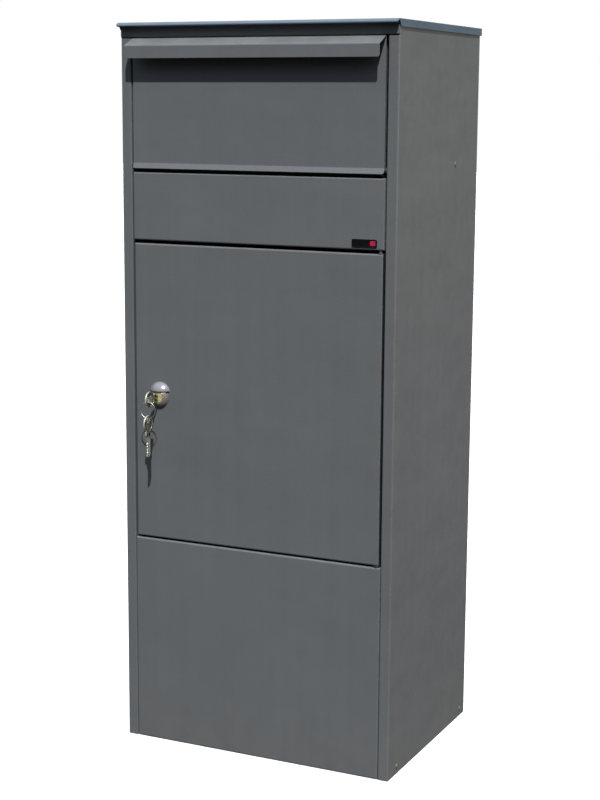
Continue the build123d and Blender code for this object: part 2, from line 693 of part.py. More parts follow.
def hopper_pivot_pin():
    """Shouldered pin fixed in the right hopper side."""
    at = (0, PIVOT_Y, PIVOT_Z)
    shoulder = HOPPER_SIDE_X + 4
    pin = rod("x", PIVOT_COLLAR, HOPPER_SIDE_IN - SHEET, HOPPER_SIDE_IN, at)
    pin += rod("x", PIVOT_SPIGOT, HOPPER_SIDE_IN, HOPPER_SIDE_X, at)
    pin += rod("x", PIVOT_COLLAR, HOPPER_SIDE_X, shoulder, at)
    return pin + rod("x", HINGE_PIN_RADIUS, shoulder, JAMB + BUSH_LENGTH + CUT, at)


def hopper_rivets():
    """Rivets through the floor's flanges and the hopper sides."""
    rivets = []
    for y, z in FLOOR_RIVETS:
        rivets += both_sides(rivet("x", HOPPER_SIDE_IN - SHEET, HOPPER_SIDE_X, (0, y, z)))
    return rivets


# ---------------------------------------------------------------- door
def door_panel():
    """Door leaf with the lock hole and the two bush holes."""
    door = pan(PANEL_HALF, DOOR_BOTTOM, DOOR_TOP, DOOR_DEPTH)
    for z in (DOOR_BOTTOM, DOOR_TOP):
        door -= rod("z", HINGE_BUSH, z - SHEET - CUT, z + SHEET + CUT, (HINGE_X, HINGE_Y, 0))
    return door - plate(lock_plane(FRONT), barrel_section(LOCK_BARREL_RADIUS), -CUT, SHEET + CUT)


def door_stiffener():
    """Hat channel welded down the inside of the door."""
    seat = INSIDE_FRONT + MID
    crown = seat + STIFFENER_CROWN
    inner, outer = STIFFENER_HALF_WIDTHS
    section = ((-outer, seat), (-inner, seat), (-inner, crown), (inner, crown), (inner, seat), (outer, seat))
    return folded(Plane.XY, section, DOOR_BOTTOM + STIFFENER_END, DOOR_TOP - STIFFENER_END)


def hinge_bushes():
    """Nylon bushes in the door's top and bottom returns."""
    at = (HINGE_X, HINGE_Y, 0)
    bore = HINGE_PIN_RADIUS + RUNNING_FIT
    spigot = 2 * SHEET
    upper = rod("z", HINGE_BUSH, DOOR_TOP - spigot, DOOR_TOP, at)
    upper += rod("z", HINGE_BUSH_COLLAR, DOOR_TOP, DOOR_TOP + SHEET, at)
    upper -= rod("z", bore, DOOR_TOP - spigot - CUT, DOOR_TOP + SHEET + CUT, at)
    lower = rod("z", HINGE_BUSH, DOOR_BOTTOM, DOOR_BOTTOM + spigot, at)
    lower += rod("z", HINGE_BUSH_COLLAR, LOWER_TOP + 2 * RUNNING_FIT, DOOR_BOTTOM, at)
    lower -= rod("z", bore, LOWER_TOP - CUT, DOOR_BOTTOM + spigot + CUT, at)
    return [upper, lower]


def lock_hood():
    """Half-dome rain hood over the lock face, on a base plate that also surrounds the rim."""
    edge_z = LOCK_Z + HOOD_EDGE
    centre_z = LOCK_Z + HOOD_RISE
    ball_radius = (HOOD_RADIUS ** 2 + HOOD_HEIGHT ** 2) / (2 * HOOD_HEIGHT)
    centre = Pos(LOCK_X, FRONT - HOOD_HEIGHT + ball_radius, centre_z)
    above = block(
        (LOCK_X - HOOD_RADIUS, LOCK_X + HOOD_RADIUS),
        (FRONT - HOOD_HEIGHT, FRONT),
        (edge_z, centre_z + HOOD_RADIUS),
    )
    shell = centre * (Sphere(ball_radius) - Sphere(ball_radius - HOOD_SHELL)) & above
    upper_base = rod("y", HOOD_RADIUS, FRONT - HOOD_BASE, FRONT, (LOCK_X, 0, centre_z)) & above
    lower_base = rod("y", HOOD_BASE_RADIUS, FRONT - HOOD_BASE, FRONT, (LOCK_X, 0, LOCK_Z))
    hood = shell + (upper_base & centre * Sphere(ball_radius)) + lower_base
    return hood - rod("y", LOCK_RIM_RADIUS, LOCK_FACE, FRONT + CUT, (LOCK_X, 0, LOCK_Z))


def lock_body():
    """Lock housing: bevelled rim outside the door and a flatted barrel through it."""
    at = (LOCK_X, 0, LOCK_Z)
    along, across = LOCK_RIM_BEVEL
    rim = rod("y", LOCK_RIM_RADIUS, LOCK_FACE, FRONT, at)
    front_face = rim.faces().sort_by(Axis.Y)[0]
    rim = chamfer(front_face.edges(), across, along, reference=front_face)
    body = rim + plate(lock_plane(FRONT), barrel_section(LOCK_BARREL_RADIUS), 0, PLUG_BACK - GAP)
    head_back = LOCK_FACE + PLUG_HEAD_THICK + RUNNING_FIT
    body -= rod("y", PLUG_HEAD_RADIUS + RUNNING_FIT, LOCK_FACE - CUT, head_back, at)
    return body - rod("y", PLUG_RADIUS + RUNNING_FIT, LOCK_FACE, PLUG_REAR + CUT, at)


def lock_nut():
    """Hexagon nut that clamps the lock inside the door."""
    outline = RegularPolygon(LOCK_NUT_RADIUS, 6) - Circle(LOCK_BARREL_RADIUS)
    return plate(lock_plane(INSIDE_FRONT), outline, 0, LOCK_NUT_THICK)


# ---------------------------------------------------------------- lock plug and keys
def lock_plug():
    """Brass plug with the key slot and a square tail for the cam."""
    at = (LOCK_X, 0, LOCK_Z)
    plug = rod("y", PLUG_HEAD_RADIUS, LOCK_FACE, LOCK_FACE + PLUG_HEAD_THICK, at)
    plug = chamfer(plug.edges().sort_by(Axis.Y)[:1], RIVET_HEAD_HEIGHT / 2)
    plug += rod("y", PLUG_RADIUS, LOCK_FACE + PLUG_HEAD_THICK, PLUG_REAR, at)
    plug += lock_square(PLUG_REAR, PLUG_REAR + CAM_THICK)
    slot_half = KEY_THICK / 2 + KEY_SLOT_FIT
    slot_height = KEY_WIDTH / 2 + KEY_SLOT_FIT
    plug -= block(
        (LOCK_X - slot_half, LOCK_X + slot_half),
        (LOCK_FACE - CUT, LOCK_FACE + KEY_BLADE + GAP),
        (LOCK_Z - slot_height, LOCK_Z + slot_height),
    )
    return plug - rod("y", CAM_SCREW_RADIUS, PLUG_REAR - CAM_SCREW_BITE, PLUG_REAR + CAM_THICK + CUT, at)


def lock_cam():
    """Cranked cam on the plug's tail, pointing up when unlocked."""
    tail_y = PLUG_REAR + CAM_THICK / 2
    hook_y = STRIKE_LIP_Y + KEY_SLOT_FIT * 2 + CAM_THICK / 2
    line = FilletPolyline(
        (tail_y, LOCK_Z - CAM_HALF_WIDTH),
        (tail_y, LOCK_Z + CAM_HALF_WIDTH + 2),
        (hook_y, LOCK_Z + 2 * CAM_HALF_WIDTH + 1),
        (hook_y, LOCK_Z + CAM_REACH),
        radius=CAM_THICK,
    )
    section = trace(line, line_width=CAM_THICK)
    cam = plate(Plane.YZ, section, LOCK_X - CAM_HALF_WIDTH, LOCK_X + CAM_HALF_WIDTH)
    cam = fillet(cam.edges().filter_by(Axis.Y).group_by(Axis.Z)[-1], CAM_HALF_WIDTH * 0.75)
    return cam - lock_square(PLUG_REAR - CUT, PLUG_REAR + CAM_THICK + CUT)


def cam_screw():
    """Pan-head screw that holds the cam on the plug."""
    at = (LOCK_X, 0, LOCK_Z)
    seat = PLUG_REAR + CAM_THICK
    head = rod("y", CAM_SCREW_HEAD, seat, seat + CAM_SCREW_HEIGHT, at)
    head = fillet(head.edges().sort_by(Axis.Y)[-1:], CAM_SCREW_HEIGHT * 0.4)
    return head + rod("y", CAM_SCREW_RADIUS, PLUG_REAR - CAM_SCREW_BITE, seat, at)


def key_blank():
    """Key in the YZ plane: bow centred on the origin, blade along +Y, cuts on its +Z edge."""
    half = KEY_WIDTH / 2
    shoulder = KEY_BOW_RADIUS + KEY_NECK
    tip = shoulder + KEY_BLADE
    outline = Circle(KEY_BOW_RADIUS)
    outline += Pos(shoulder / 2, 0) * Rectangle(shoulder, KEY_WIDTH)
    outline += Polygon(
        (shoulder - CUT, -half),
        (tip - half, -half),
        (tip, -half / 4),
        (tip, half / 4),
        (tip - half / 2, half),
        (shoulder - CUT, half),
        align=None,
    )
    for step, depth in enumerate(KEY_CUT_DEPTHS):
        y = shoulder + KEY_CUT_START + KEY_CUT_PITCH * step
        floor = half - depth
        outline -= Polygon(
            (y - depth - GAP, half + GAP), (y - GAP, floor), (y + GAP, floor), (y + depth + GAP, half + GAP),
            align=None,
        )
    outline -= Pos(-KEY_HOLE_OFFSET, 0) * Circle(KEY_HOLE_RADIUS)
    return plate(Plane.YZ, outline, -KEY_THICK / 2, KEY_THICK / 2)


def key():
    """Key in the lock."""
    return Pos(LOCK_X, BOW_Y, LOCK_Z) * key_blank()


def key_ring():
    """Ring hanging from the key's bow, parallel to the door."""
    return Pos(LOCK_X, KEY_HOLE_Y, RING_Z) * Rot(90, 0, 0) * Torus(RING_RADIUS, RING_WIRE)


def spare_key():
    """Second key hanging on the ring, its blade down and its cuts to the front."""
    hanging = Rot(0, 0, 180) * Rot(-90, 0, 0) * Pos(0, KEY_HOLE_OFFSET, 0) * key_blank()
    return Pos(LOCK_X, KEY_HOLE_Y, SPARE_HOLE_Z) * hanging


# ---------------------------------------------------------------- write every sub-part
def main():
    os.makedirs("parts", exist_ok=True)
    for make in (side_panel, hopper_side):
        left, right = both_sides(make())
        save(f"{make.__name__}_left", left)
        save(f"{make.__name__}_right", right)
    for make in (
        back_panel, base_plate, lid, top_rail, mid_panel, lower_panel, compartment_floor,
        anti_fishing_baffle, strike_plate, badge, flap_panel, hopper_floor, door_panel,
        door_stiffener, lock_hood, lock_body, lock_nut, lock_plug, lock_cam, cam_screw,
        key, key_ring, spare_key,
    ):
        save(make.__name__, make())
    for make in (
        lid_nuts, hinge_pins, door_bumpers, base_rivets, back_rivets, shelf_rivets,
        hopper_rivets, hinge_bushes,
    ):
        save(make.__name__, *make())
    for make in (shelf_bracket, hopper_bush, hopper_stop_pin, hopper_bumper, hopper_pivot_pin):
        plural = "es" if make is hopper_bush else "s"
        save(f"{make.__name__}{plural}", *both_sides(make()))


main()
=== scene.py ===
import json
import math

import bpy
from mathutils import Matrix, Vector


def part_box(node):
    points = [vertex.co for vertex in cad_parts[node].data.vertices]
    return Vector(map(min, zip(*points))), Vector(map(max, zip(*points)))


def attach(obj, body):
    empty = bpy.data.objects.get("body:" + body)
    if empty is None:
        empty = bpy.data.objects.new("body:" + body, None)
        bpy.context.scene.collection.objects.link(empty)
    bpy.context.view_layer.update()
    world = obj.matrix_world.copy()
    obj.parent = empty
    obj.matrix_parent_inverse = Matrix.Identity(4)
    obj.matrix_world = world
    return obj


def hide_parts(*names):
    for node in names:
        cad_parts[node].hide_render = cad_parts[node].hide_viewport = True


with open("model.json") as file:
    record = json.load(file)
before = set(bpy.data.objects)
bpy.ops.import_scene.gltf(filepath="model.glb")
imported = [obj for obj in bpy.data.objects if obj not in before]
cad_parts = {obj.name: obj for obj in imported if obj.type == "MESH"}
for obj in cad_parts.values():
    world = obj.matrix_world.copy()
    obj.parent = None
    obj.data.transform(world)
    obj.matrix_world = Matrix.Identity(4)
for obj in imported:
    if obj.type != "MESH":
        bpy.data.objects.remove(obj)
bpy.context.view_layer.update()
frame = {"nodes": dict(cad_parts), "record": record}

# Parcel drop box. Metres, floor at z = 0, front towards -Y, right side +X.

# ---------------------------------------------------------------- camera and light
CAMERA_PLACE = (1.0023, -2.1186, 0.8935)
CAMERA_AZIMUTH = 25.382
CAMERA_ELEVATION = 9.997
CAMERA_ROLL = 0.377
CAMERA_LENS = 75.34
CAMERA_SENSOR = 36.0

SUN_FROM = (12.0, -22.0, 31.0)
SUN_STRENGTH = 4.5
SUN_ANGLE = 1.2
SUN_COLOUR = (1.0, 0.98, 0.95)
GROUND_LIGHT = (0.045, 0.043, 0.04)
HORIZON_LIGHT = (0.07, 0.075, 0.085)
ZENITH_LIGHT = (0.80, 0.93, 1.10)
SKY_STEPS = ((0.46, GROUND_LIGHT), (0.60, HORIZON_LIGHT), (0.85, ZENITH_LIGHT))     # 0 down, 0.5 level, 1 up
SIDE_LAMP_PLACE = (4.0, 1.7, 1.5)
SIDE_LAMP_AIM = (0.2, 0.0, 0.5)
SIDE_LAMP_SIZE = 2.2
SIDE_LAMP_POWER = 82.0
SIDE_LAMP_COLOUR = (1.0, 0.915, 0.78)

# ---------------------------------------------------------------- colours
PAINT = (0.110, 0.117, 0.123)
DOOR_PAINT = tuple(0.985 * channel for channel in PAINT)
# painted reflection: the lid's grey is tinted blue for the sky that its top and nose reflect
LID_PAINT_AND_SKY_TINT = (0.080, 0.116, 0.155)
# pale grey: dust on up-facing faces, and also a painted sheen of sky light on them
DUST_AND_TOP_SHEEN = (0.36, 0.355, 0.35)
EARTH = (0.16, 0.135, 0.105)
# near black: painted shade on the door's sideways faces, and grime on the pins
GRIME_AND_PAINTED_SHADE = (0.012, 0.012, 0.012)
BARE_STEEL = (0.30, 0.31, 0.32)
ZINC = (0.55, 0.56, 0.58)
ZINC_STAIN = (0.36, 0.36, 0.33)
PIN_STEEL = (0.06, 0.06, 0.06)
HOOD_NICKEL = (0.32, 0.31, 0.335)
HOOD_STAIN = (0.34, 0.32, 0.34)
# nickel with a painted reflection: the rim is tinted warm pink for the brass it reflects
RIM_NICKEL_AND_BRASS_TINT = (0.40, 0.33, 0.29)
BRASS = (0.86, 0.79, 0.36)
TARNISH = (0.20, 0.15, 0.07)
# pale nickel: rubbed raised parts, and a painted highlight on the key's edges
KEY_RUBBED_AND_HIGHLIGHT = (0.80, 0.80, 0.70)
# dark olive: tarnish and painted shade in the key's recesses
KEY_DULL_AND_SHADE = (0.075, 0.078, 0.048)
KEY_STAIN = (0.26, 0.23, 0.12)
RING_STEEL = (0.66, 0.65, 0.61)
RING_STAIN = (0.30, 0.27, 0.22)
RUBBER = (0.022, 0.022, 0.022)
NYLON = (0.03, 0.03, 0.032)
BADGE_BLACK = (0.003, 0.003, 0.004)
CRIMSON = (0.42, 0.012, 0.06)

# ---------------------------------------------------------------- surface textures
# A scale is a noise's grain per metre, and a stretch is the same along X, Y and Z.
PATCH_SCALE = 7.0
STREAK_STRETCH = (70.0, 70.0, 2.2)
SPECKLE_SCALE = 900.0
CLOUD_SCALE = 28.0
CHIP_SCALE = 420.0
GLOSS_SCALE = 60.0
SMEAR_STRETCH = (9.0, 9.0, 30.0)
GRAIN_SCALE = 1500.0
PEEL_SCALE = 260.0
WAVE_SCALE = 11.0
SCRATCH_STRETCH = (2600.0, 400.0, 900.0)
TURNING_RATE = 9000.0           # turned rings, radians per metre of radius
DUST_AND_SHEEN_COVER = 0.45
SPLASH_TOP = 0.11               # highest splashes above the ground
EDGE_WEAR = 0.10
CHIP_WEAR = 0.55

# ---------------------------------------------------------------- piece sizes
MM = 0.001
COAT_EDGE = 0.9 * MM
METAL_EDGE = 0.3 * MM
MOULDED_EDGE = 0.4 * MM
SLAB_EDGE = 0.15 * MM
SCRATCH_DEPTH = 0.02 * MM
KEY_CORE = 1.3 * MM             # blade web and bow panel
KEY_THICK = 1.96 * MM           # bow rim and blade lands
KEY_WIDTH = 8.0 * MM
KEY_NECK = 10.6 * MM
KEY_RIM = 1.3 * MM
KEY_COLLAR_HALF = 6.2 * MM      # half width of the wide part of the neck
KEY_COLLAR_LENGTH = 7.5 * MM
KEY_COLLAR_OVERLAP = 1.5 * MM   # how far the collar runs over the bow
KEY_COLLAR_CORNER = 1.6 * MM
KEY_LAND_GAP = 1.0 * MM         # from the bow to the blade's raised lands
KEY_HOLE_OFFSET = 4.7 * MM
KEY_HOLE_RADIUS = 3.4 * MM
KEY_HOLE_BOSS = 4.6 * MM
KEY_CUT_DEPTHS = (2.0, 1.2, 2.4, 1.6, 1.0)
KEY_CUT_START = 4.0
KEY_CUT_PITCH = 4.2
KEY_CUT_FLAT = 0.3              # half width of a cut's floor
KEY_GROOVE = (-0.6 * MM, 1.2 * MM)
KEY_RIB_LENGTHS = (7.0, 10.0, 11.0, 10.0, 7.0)
KEY_RIB_PITCH = 2.1
KEY_RIB_HALF = 0.45
KEY_RIB_CORNER = 0.4 * MM
KEY_RIB_THICK = KEY_THICK - 0.1 * MM
KEY_POLISH = (20.0 * MM, 22.0 * MM)     # the blade is rubbed bright beyond here
WIRE_RADIUS = 0.43 * MM
WIRE_FIT = 0.02 * MM
RING_TURNS = 1.93
RING_STEPS = 150
RING_START = 0.6                # radians
RING_CROSSING = 14.0            # how steeply one coil crosses to the other
PLUG_BRIGHT_RADIUS = 6.8 * MM   # the plug's face is worn to bare brass inside this
PLUG_DULL_RADIUS = 7.2 * MM
BADGE_CORNER = 1.5 * MM
BADGE_RIM = 0.55 * MM
INLAY_WIDTH = 7.5 * MM
INLAY_MARGIN = 2.0 * MM
INLAY_CORNER = 1.6 * MM

FLOOR_SIZE = 40.0
FLOOR_WHITE = (0.9, 0.9, 0.9)
FLOOR_ROUGHNESS = 0.8


# ---------------------------------------------------------------- node helpers
def new_material(name):
    material = bpy.data.materials.new(name)
    material.use_nodes = True
    tree = material.node_tree
    return material, tree, tree.nodes["Principled BSDF"]


def node(tree, kind, **settings):
    made = tree.nodes.new(kind)
    for key, value in settings.items():
        if key in made.inputs:
            made.inputs[key].default_value = value
        else:
            setattr(made, key, value)
    return made


def feed(tree, socket, value):
    """Links value to a socket if it comes from the tree, or sets it if it is a plain value."""
    if isinstance(value, bpy.types.NodeSocket):
        tree.links.new(value, socket)
    elif isinstance(value, tuple) and socket.type == "RGBA":
        socket.default_value = (*value, 1.0)
    else:
        socket.default_value = value


def maths(tree, operation, first, second=0.0):
    made = node(tree, "ShaderNodeMath", operation=operation)
    feed(tree, made.inputs[0], first)
    feed(tree, made.inputs[1], second)
    return made.outputs[0]


def vector(tree, operation, first, second, output="Vector"):
    made = node(tree, "ShaderNodeVectorMath", operation=operation)
    feed(tree, made.inputs[0], first)
    feed(tree, made.inputs[1], second)
    return made.outputs[output]


def mix(tree, factor, low, high):
    """Colour low where factor is 0 and high where it is 1."""
    made = node(tree, "ShaderNodeMix", data_type="RGBA")
    feed(tree, made.inputs[0], factor)
    feed(tree, made.inputs[6], low)
    feed(tree, made.inputs[7], high)
    return made.outputs[2]


def ramp(tree, value, low, high, start=0.3, end=0.7):
    """Maps value from start..end to low..high, held at both ends."""
    made = node(tree, "ShaderNodeMapRange", clamp=True)
    feed(tree, made.inputs["Value"], value)
    feed(tree, made.inputs["From Min"], start)
    feed(tree, made.inputs["From Max"], end)
    feed(tree, made.inputs["To Min"], low)
    feed(tree, made.inputs["To Max"], high)
    return made.outputs["Result"]


def noise(tree, place, scale, detail=4.0, roughness=0.55):
    texture = node(tree, "ShaderNodeTexNoise", Scale=scale, Detail=detail, Roughness=roughness)
    feed(tree, texture.inputs["Vector"], place)
    return texture.outputs["Fac"]


def scaled_colour(tree, colour, factor):
    """A colour times a number from the node tree."""
    made = node(tree, "ShaderNodeVectorMath", operation="SCALE")
    feed(tree, made.inputs[0], colour)
    feed(tree, made.inputs["Scale"], factor)
    return made.outputs["Vector"]


def bump(tree, shader, height, distance, under=None):
    """Bumps the shader's surface by height, on top of the normal under."""
    made = node(tree, "ShaderNodeBump", Distance=distance)
    feed(tree, made.inputs["Height"], height)
    if under is not None:
        feed(tree, made.inputs["Normal"], under)
    feed(tree, shader.inputs["Normal"], made.outputs["Normal"])
    return made.outputs["Normal"]


def object_place(tree):
    return node(tree, "ShaderNodeTexCoord").outputs["Object"]


def soft_edges(tree, radius):
    """A normal that rounds sharp edges, and a mask that is 1 along them."""
    bevel = node(tree, "ShaderNodeBevel", Radius=radius, samples=4)
    flat = node(tree, "ShaderNodeNewGeometry").outputs["Normal"]
    likeness = vector(tree, "DOT_PRODUCT", bevel.outputs["Normal"], flat, "Value")
    return bevel.outputs["Normal"], ramp(tree, likeness, 1.0, 0.0, 0.82, 0.995)


# ---------------------------------------------------------------- materials
def powder_coat(name, colour, roughness=0.46, painted_side_shade=0.0):
    """Fine-textured grey powder coat with water marks, pale dust on ledges that is also a painted sheen of
    sky light on up-facing faces, splashes low down and worn edges.

    Faces that look left and right are darkened by painted shade, as far as the last argument says, standing
    in for the shade inside the gaps beside the door.
    """
    material, tree, shader = new_material(name)
    place = object_place(tree)
    height = node(tree, "ShaderNodeSeparateXYZ")
    feed(tree, height.inputs["Vector"], place)
    facing = node(tree, "ShaderNodeSeparateXYZ")
    feed(tree, facing.inputs["Vector"], node(tree, "ShaderNodeNewGeometry").outputs["Normal"])

    patches = ramp(tree, noise(tree, place, PATCH_SCALE, 3.0), 0.965, 1.03)
    streaks = noise(tree, vector(tree, "MULTIPLY", place, STREAK_STRETCH), 1.0, 3.0)
    shade = maths(tree, "MULTIPLY", patches, ramp(tree, streaks, 0.98, 1.025, 0.35, 0.75))
    speckle = ramp(tree, noise(tree, place, SPECKLE_SCALE, 2.0), 0.95, 1.05, 0.3, 0.7)
    paint = scaled_colour(tree, colour, maths(tree, "MULTIPLY", shade, speckle))

    cloud = ramp(tree, noise(tree, place, CLOUD_SCALE), 0.0, 1.0, 0.35, 0.75)
    # dust and painted highlight: up-facing faces are made paler, partly dust and partly painted sky light
    ledge_dust_and_sheen = ramp(tree, facing.outputs["Z"], 0.0, DUST_AND_SHEEN_COVER, 0.55, 0.95)
    settled = ramp(tree, cloud, 0.2, 0.65, 0.0, 1.0)
    dusty_and_sheened = mix(tree, maths(tree, "MULTIPLY", ledge_dust_and_sheen, settled), paint, DUST_AND_TOP_SHEEN)
    splash = ramp(tree, height.outputs["Z"], 0.30, 0.0, 0.0, SPLASH_TOP)
    earthy = mix(tree, maths(tree, "MULTIPLY", splash, cloud), dusty_and_sheened, EARTH)
    # painted shade: faces looking left and right are darkened towards near black, standing in for the shade
    # inside the gaps
    side_shade_mask = ramp(tree, maths(tree, "ABSOLUTE", facing.outputs["X"]), 0.0, painted_side_shade, 0.80, 0.97)
    side_shaded = mix(tree, side_shade_mask, earthy, GRIME_AND_PAINTED_SHADE)

    rounded, edge = soft_edges(tree, COAT_EDGE)
    chips = ramp(tree, noise(tree, place, CHIP_SCALE, 3.0), 0.0, 1.0, 0.60, 0.66)
    bare = maths(tree, "ADD", maths(tree, "MULTIPLY", chips, CHIP_WEAR), EDGE_WEAR)
    worn = maths(tree, "MULTIPLY", edge, bare)
    feed(tree, shader.inputs["Base Color"], mix(tree, worn, side_shaded, BARE_STEEL))

    smears = ramp(tree, noise(tree, vector(tree, "MULTIPLY", place, SMEAR_STRETCH), 1.0), -0.04, 0.07)
    gloss = ramp(tree, noise(tree, place, GLOSS_SCALE), roughness - 0.04, roughness + 0.06)
    feed(tree, shader.inputs["Roughness"], maths(tree, "ADD", gloss, smears))
    fine = bump(tree, shader, noise(tree, place, GRAIN_SCALE, 2.0), 0.04 * MM, rounded)
    orange_peel = bump(tree, shader, noise(tree, place, PEEL_SCALE, 3.0), 0.09 * MM, fine)
    bump(tree, shader, noise(tree, place, WAVE_SCALE, 1.0), 0.8 * MM, orange_peel)
    return material


def scratches(tree, place):
    return noise(tree, vector(tree, "MULTIPLY", place, SCRATCH_STRETCH), 1.0, 3.0)


def metal(name, colour, stain, roughness, scale=300.0, stained=0.35, turned=None, shine=1.0, outer=None):
    """Bare or plated metal with stains, uneven gloss and fine scratches.

    turned is a point on the axis of turned rings, and outer is the colour towards the plug's rim.
    """
    material, tree, shader = new_material(name)
    place = object_place(tree)
    shader.inputs["Metallic"].default_value = shine
    blotch = ramp(tree, noise(tree, place, scale), 0.0, stained, 0.42, 0.70)
    rounded, edge = soft_edges(tree, METAL_EDGE)
    rubbed = maths(tree, "MULTIPLY", blotch, maths(tree, "SUBTRACT", 1.0, edge))
    tint = mix(tree, rubbed, colour, stain)
    low, high = roughness
    feed(tree, shader.inputs["Roughness"], ramp(tree, noise(tree, place, scale * 2.0), low, high))
    under = rounded
    if turned:
        across = vector(tree, "MULTIPLY", vector(tree, "SUBTRACT", place, turned), (1.0, 0.0, 1.0))
        distance = vector(tree, "LENGTH", across, (0.0, 0.0, 0.0), "Value")
        rings = maths(tree, "SINE", maths(tree, "MULTIPLY", distance, TURNING_RATE))
        under = bump(tree, shader, rings, SCRATCH_DEPTH, rounded)
        if outer:
            unworn = ramp(tree, distance, 0.0, 1.0, PLUG_BRIGHT_RADIUS, PLUG_DULL_RADIUS)
            tint = mix(tree, unworn, tint, outer)
    feed(tree, shader.inputs["Base Color"], tint)
    bump(tree, shader, scratches(tree, place), SCRATCH_DEPTH, under)
    return material


def key_metal(name):
    """Nickel plate, rubbed bright on a key's raised parts, with a painted highlight on its edges, and dark in
    its recesses from stains and painted shade.
    """
    material, tree, shader = new_material(name)
    place = object_place(tree)
    depth = node(tree, "ShaderNodeSeparateXYZ")
    feed(tree, depth.inputs["Vector"], place)
    from_middle = maths(tree, "ABSOLUTE", depth.outputs["Z"])
    raised = ramp(tree, from_middle, 0.0, 1.0, KEY_CORE * 0.54, KEY_THICK * 0.48)
    facing = node(tree, "ShaderNodeSeparateXYZ")
    feed(tree, facing.inputs["Vector"], node(tree, "ShaderNodeTexCoord").outputs["Normal"])
    # painted highlight: the faces along the key's edges are made bright, as if they caught the light
    edge = ramp(tree, maths(tree, "ABSOLUTE", facing.outputs["Z"]), 1.0, 0.0, 0.25, 0.80)
    polish = ramp(tree, depth.outputs["X"], 0.22, 0.75, *KEY_POLISH)
    rubbed = maths(tree, "MAXIMUM", maths(tree, "MULTIPLY", raised, polish), edge)
    uneven = maths(tree, "MULTIPLY", rubbed, ramp(tree, noise(tree, place, 420.0), 0.75, 1.0))
    stains = ramp(tree, noise(tree, place, 700.0), 0.0, 0.6, 0.45, 0.70)
    # painted shade: the recesses are dark, partly stain and partly painted shade
    dull = mix(tree, stains, KEY_DULL_AND_SHADE, KEY_STAIN)
    feed(tree, shader.inputs["Base Color"], mix(tree, uneven, dull, KEY_RUBBED_AND_HIGHLIGHT))
    shader.inputs["Metallic"].default_value = 0.5
    feed(tree, shader.inputs["Roughness"], ramp(tree, noise(tree, place, 900.0), 0.24, 0.42))
    rounded, _ = soft_edges(tree, METAL_EDGE)
    bump(tree, shader, scratches(tree, place), SCRATCH_DEPTH, rounded)
    return material


def moulded(name, colour, roughness, grain, coat=0.0):
    """Moulded plastic or rubber with a fine grain, rubbed paler at its edges."""
    material, tree, shader = new_material(name)
    place = object_place(tree)
    rounded, edge = soft_edges(tree, MOULDED_EDGE)
    paler = tuple(channel * 1.8 + 0.01 for channel in colour)
    clouds = ramp(tree, noise(tree, place, 180.0), 0.85, 1.2)
    feed(tree, shader.inputs["Base Color"], mix(tree, edge, scaled_colour(tree, colour, clouds), paler))
    feed(tree, shader.inputs["Roughness"], ramp(tree, noise(tree, place, 420.0), roughness, roughness + 0.12))
    shader.inputs["Coat Weight"].default_value = coat
    bump(tree, shader, noise(tree, place, 2400.0, 2.0), grain, rounded)
    return material


def middle(node_name):
    """Centre of a CAD node's box."""
    low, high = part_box(node_name)
    return (Vector(low) + Vector(high)) / 2


LOCK_CENTRE = tuple(middle("lock_plug"))
MATERIALS = {
    "cabinet_paint": powder_coat("cabinet_powder_coat", PAINT),
    # the door gets painted shade on the faces that look left and right
    "door_paint": powder_coat("door_powder_coat", DOOR_PAINT, painted_side_shade=0.9),
    "zinc_steel": metal("zinc_plate", ZINC, ZINC_STAIN, (0.30, 0.48), 140.0),
    "lock_chrome": metal("hood_nickel", HOOD_NICKEL, HOOD_STAIN, (0.12, 0.26), 350.0, shine=0.5),
    # outside its worn face the plug takes the rim's colour, which carries the painted brass reflection
    "lock_brass": metal(
        "lock_brass", BRASS, TARNISH, (0.22, 0.40), 260.0, 0.5, turned=LOCK_CENTRE, shine=0.45,
        outer=RIM_NICKEL_AND_BRASS_TINT),
    "key_nickel": key_metal("key_nickel"),
    "ring_steel": metal("ring_steel", RING_STEEL, RING_STAIN, (0.26, 0.42), 500.0, shine=0.9),
    "rubber_black": moulded("rubber_black", RUBBER, 0.62, 0.06 * MM),
    "nylon_black": moulded("nylon_black", NYLON, 0.42, 0.03 * MM),
    "badge_plastic": moulded("badge_black", BADGE_BLACK, 0.22, 0.004 * MM, 0.15),
}
OWN_MATERIALS = {
    # the lid's paint carries a painted blue reflection of the sky
    "lid": powder_coat("lid_powder_coat", LID_PAINT_AND_SKY_TINT, 0.40),
    "hopper_pivot_pins": metal("dull_pin", PIN_STEEL, GRIME_AND_PAINTED_SHADE, (0.45, 0.60), 300.0, shine=0.5),
    # the rim's warm tint is a painted reflection of the brass
    "lock_body": metal("rim_nickel", RIM_NICKEL_AND_BRASS_TINT, TARNISH, (0.18, 0.32), 350.0, turned=LOCK_CENTRE, shine=0.5),
}
BADGE_INLAY = moulded("badge_crimson", CRIMSON, 0.18, 0.004 * MM, 0.6)


def paint_cad():
    """Gives every CAD node the material of its slot, or its own where it has one."""
    slots = {part["node"]: part["material_slot"] for part in frame["record"]["subparts"]}
    for name, piece in frame["nodes"].items():
        material = OWN_MATERIALS.get(name, MATERIALS[slots[name]])
        for place in piece.material_slots:
            place.material = material


# ---------------------------------------------------------------- piece helpers
def arc(radius, start, end, centre=(0.0, 0.0), steps=48):
    """Points along a round arc between two angles in degrees."""
    x, y = centre
    turns = [math.radians(start + (end - start) * step / steps) for step in range(steps + 1)]
    return [(x + radius * math.cos(turn), y + radius * math.sin(turn)) for turn in turns]


def hole(radius, centre=(0.0, 0.0)):
    """A round hole's loop, against the turn of an outline."""
    return arc(radius, 360.0, 0.0, centre)[:-1]


def disc(radius, centre=(0.0, 0.0)):
    return arc(radius, 0.0, 360.0, centre)[:-1]


